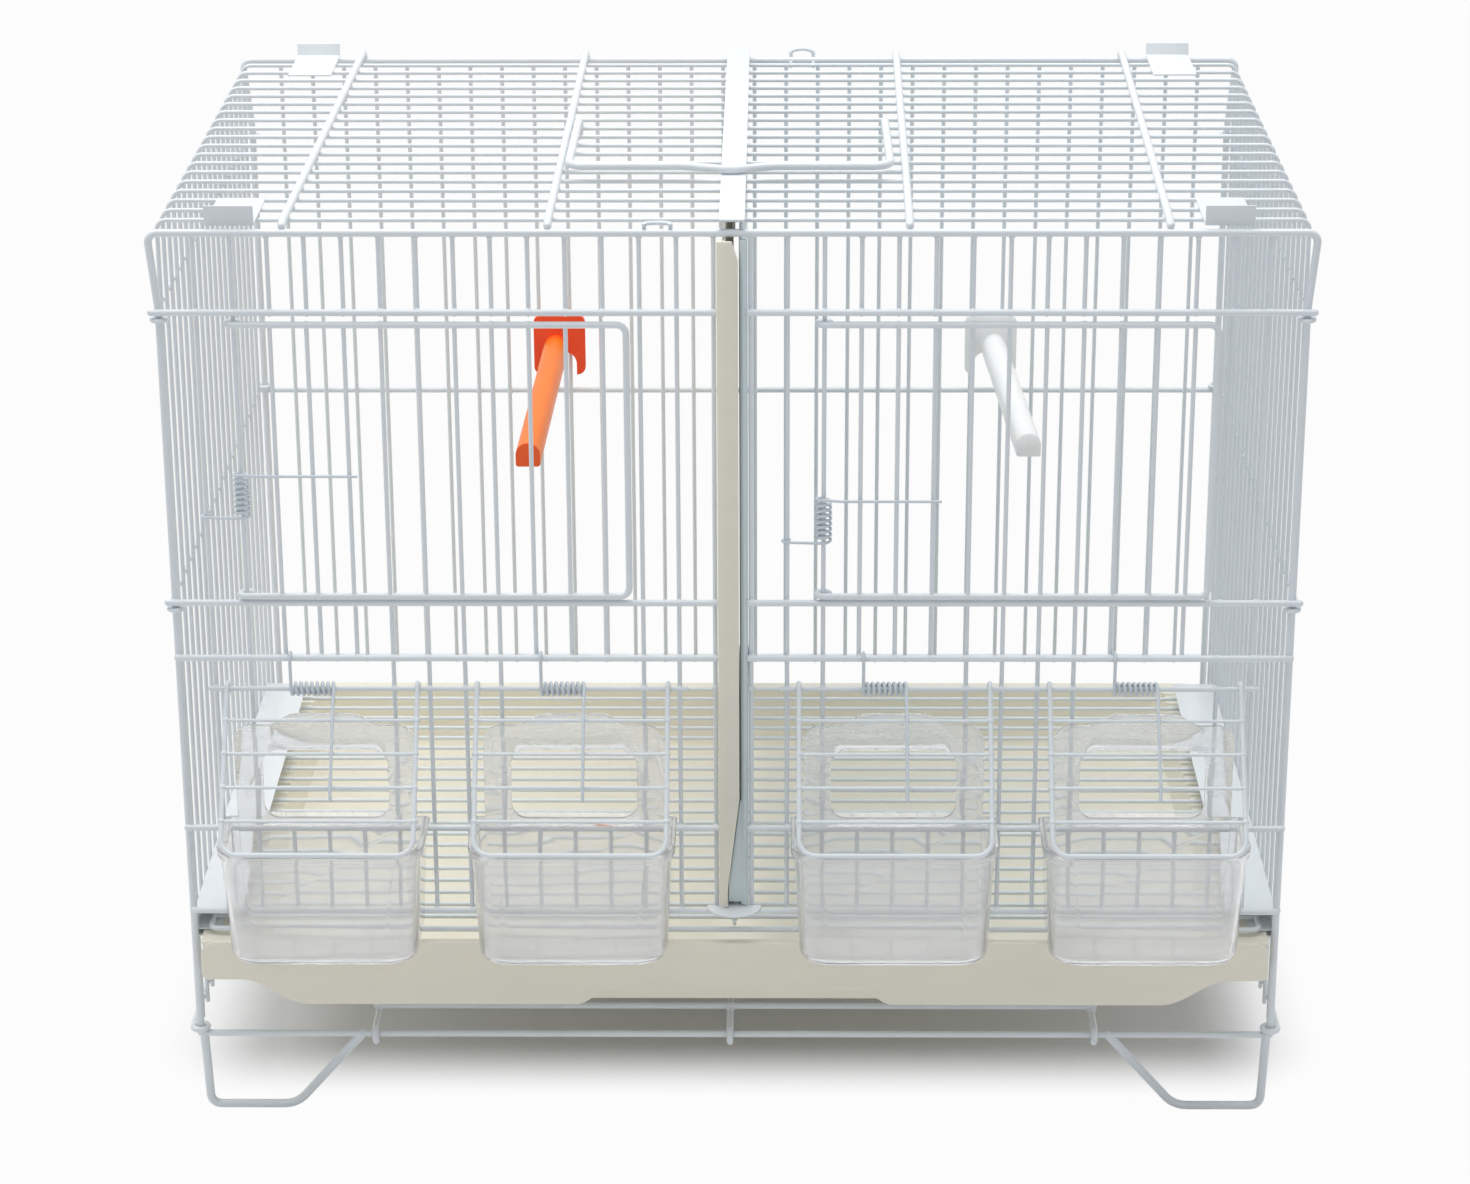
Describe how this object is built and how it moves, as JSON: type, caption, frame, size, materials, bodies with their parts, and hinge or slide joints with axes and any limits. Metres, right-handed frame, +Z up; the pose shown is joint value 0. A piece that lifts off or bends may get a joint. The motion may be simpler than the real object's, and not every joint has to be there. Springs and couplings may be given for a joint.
{
  "type": "bird breeding cage",
  "caption": "Double wire breeding cage on wire feet: sprung doors, slide-out clear feeders with flaps, perches, a pull-out tray and grate, slide-out dividers and a carrying handle.",
  "frame": {"origin": "on the floor, under the middle of the overall box", "axes": "+X to the right seen from the front, +Y towards the back, +Z up"},
  "size_m": [0.474, 0.3536, 0.4083],
  "materials": {
    "coated_wire": "glossy white coating on round wire",
    "coated_sheet": "glossy white coating on folded sheet",
    "spring_wire": "thin glossy coating on spring wire",
    "cream_plastic": "cream moulded plastic, soft sheen",
    "pale_plastic": "pale grey-blue moulded plastic, soft sheen",
    "orange_plastic": "bright orange moulded plastic",
    "milky_plastic": "milky white moulded plastic",
    "clear_plastic": "clear moulded plastic, glossy"
  },
  "bodies": {
    "cage": {"front_panel": "coated_wire", "back_panel": "coated_wire", "roof_panel": "coated_wire", "side_panel_left": "coated_wire", "side_panel_right": "coated_wire", "side_guard_left": "coated_sheet", "side_guard_right": "coated_sheet", "base_front": "coated_wire", "base_back": "coated_wire", "base_support": "coated_wire", "roof_track": "coated_sheet", "floor_track": "coated_sheet", "clip_front_left": "coated_sheet", "clip_front_right": "coated_sheet", "clip_back_left": "coated_sheet", "clip_back_right": "coated_sheet", "hang_loop_front": "coated_wire", "hang_loop_back": "coated_wire", "perch_left": "orange_plastic", "perch_right": "milky_plastic", "door_spring_left": "spring_wire", "door_spring_right": "spring_wire", "flap_spring_1": "spring_wire", "flap_spring_2": "spring_wire", "flap_spring_3": "spring_wire", "flap_spring_4": "spring_wire"},
    "door_left": {"door_left": "coated_wire"},
    "door_right": {"door_right": "coated_wire"},
    "feeder_1": {"feeder_1": "clear_plastic"},
    "feeder_2": {"feeder_2": "clear_plastic"},
    "feeder_3": {"feeder_3": "clear_plastic"},
    "feeder_4": {"feeder_4": "clear_plastic"},
    "flap_1": {"flap_1": "coated_wire"},
    "flap_2": {"flap_2": "coated_wire"},
    "flap_3": {"flap_3": "coated_wire"},
    "flap_4": {"flap_4": "coated_wire"},
    "tray": {"tray": "cream_plastic"},
    "grate": {"floor_grate": "coated_wire"},
    "divider_flanged": {"divider_flanged": "cream_plastic"},
    "divider_rolled": {"divider_rolled": "pale_plastic"},
    "handle": {"handle": "coated_wire"}
  },
  "joints": [
    {"name": "door_left_hinge", "type": "hinge", "parent": "cage", "child": "door_left", "pos_m": [-0.2025, -0.12855, 0.3], "axis": [0, 0, -1], "range_deg": [0, 95], "stiffness_Nm_per_rad": 0.003, "springref_deg": -45.84, "deforming": ["door_spring_left"]},
    {"name": "door_right_hinge", "type": "hinge", "parent": "cage", "child": "door_right", "pos_m": [0.0375, -0.12855, 0.3], "axis": [0, 0, -1], "range_deg": [0, 95], "stiffness_Nm_per_rad": 0.003, "springref_deg": -45.84, "deforming": ["door_spring_right"]},
    {"name": "feeder_1_slide", "type": "slide", "parent": "cage", "child": "feeder_1", "axis": [0, -1, 0], "range_m": [0, 0.044]},
    {"name": "feeder_2_slide", "type": "slide", "parent": "cage", "child": "feeder_2", "axis": [0, -1, 0], "range_m": [0, 0.044]},
    {"name": "feeder_3_slide", "type": "slide", "parent": "cage", "child": "feeder_3", "axis": [0, -1, 0], "range_m": [0, 0.044]},
    {"name": "feeder_4_slide", "type": "slide", "parent": "cage", "child": "feeder_4", "axis": [0, -1, 0], "range_m": [0, 0.044]},
    {"name": "flap_1_hinge", "type": "hinge", "parent": "cage", "child": "flap_1", "pos_m": [-0.1725, -0.1303, 0.1995], "axis": [-1, 0, 0], "range_deg": [0, 80], "stiffness_Nm_per_rad": 0.001, "springref_deg": -57.3, "deforming": ["flap_spring_1"]},
    {"name": "flap_2_hinge", "type": "hinge", "parent": "cage", "child": "flap_2", "pos_m": [-0.0675, -0.1303, 0.1995], "axis": [-1, 0, 0], "range_deg": [0, 80], "stiffness_Nm_per_rad": 0.001, "springref_deg": -57.3, "deforming": ["flap_spring_2"]},
    {"name": "flap_3_hinge", "type": "hinge", "parent": "cage", "child": "flap_3", "pos_m": [0.0675, -0.1303, 0.1995], "axis": [-1, 0, 0], "range_deg": [0, 80], "stiffness_Nm_per_rad": 0.001, "springref_deg": -57.3, "deforming": ["flap_spring_3"]},
    {"name": "flap_4_hinge", "type": "hinge", "parent": "cage", "child": "flap_4", "pos_m": [0.1725, -0.1303, 0.1995], "axis": [-1, 0, 0], "range_deg": [0, 80], "stiffness_Nm_per_rad": 0.001, "springref_deg": -57.3, "deforming": ["flap_spring_4"]},
    {"name": "tray_slide", "type": "slide", "parent": "cage", "child": "tray", "axis": [0, -1, 0], "range_m": [0, 0.22]},
    {"name": "grate_slide", "type": "slide", "parent": "cage", "child": "grate", "axis": [0, -1, 0], "range_m": [0, 0.22]},
    {"name": "divider_flanged_slide", "type": "slide", "parent": "cage", "child": "divider_flanged", "axis": [0, -1, 0], "range_m": [0, 0.25]},
    {"name": "divider_rolled_slide", "type": "slide", "parent": "cage", "child": "divider_rolled", "axis": [0, -1, 0], "range_m": [0, 0.25]},
    {"name": "handle_hinge", "type": "hinge", "parent": "cage", "child": "handle", "pos_m": [0, 0.03645, 0.3982], "axis": [-1, 0, 0], "range_deg": [0, 150]}
  ],
  "couplings": [
    {"joint": "flap_1_hinge", "follows": "feeder_1_slide", "rad_per_m": 31.416},
    {"joint": "flap_2_hinge", "follows": "feeder_2_slide", "rad_per_m": 31.416},
    {"joint": "flap_3_hinge", "follows": "feeder_3_slide", "rad_per_m": 31.416},
    {"joint": "flap_4_hinge", "follows": "feeder_4_slide", "rad_per_m": 31.416}
  ]
}
